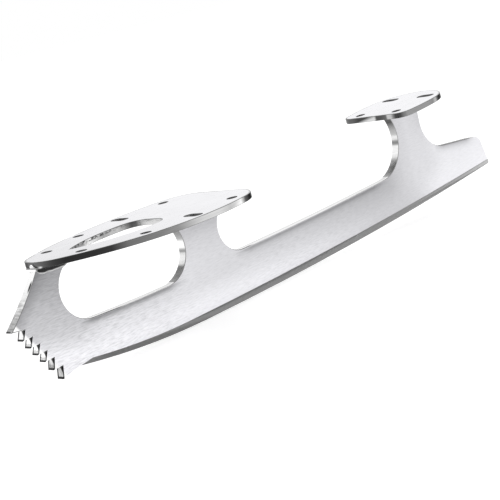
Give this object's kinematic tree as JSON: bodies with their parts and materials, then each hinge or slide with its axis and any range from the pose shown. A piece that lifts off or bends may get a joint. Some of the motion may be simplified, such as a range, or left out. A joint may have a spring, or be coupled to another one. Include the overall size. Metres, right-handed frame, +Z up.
{
  "type": "figure skate blade",
  "caption": "Steel figure skate blade: flat runner with a toe pick and three stanchions, brazed under a pointed sole plate and a pitched heel plate with screw holes and slots.",
  "frame": {"origin": "on top of the sole plate, midway between its two mounting slots", "axes": "+X along the blade towards the tail, +Y across the blade, +Z up out of the sole seat"},
  "size_m": [0.2969, 0.0568, 0.0551],
  "materials": {
    "runner": "satin sides with fine lengthwise brushing, darker ground band along the edge",
    "plates": "polished plate",
    "braze": "plated braze, semi-gloss"
  },
  "bodies": {
    "root": {"runner": "runner", "sole_plate": "plates", "heel_plate": "plates", "front_braze": "braze", "middle_braze": "braze", "heel_braze": "braze"}
  },
  "joints": []
}
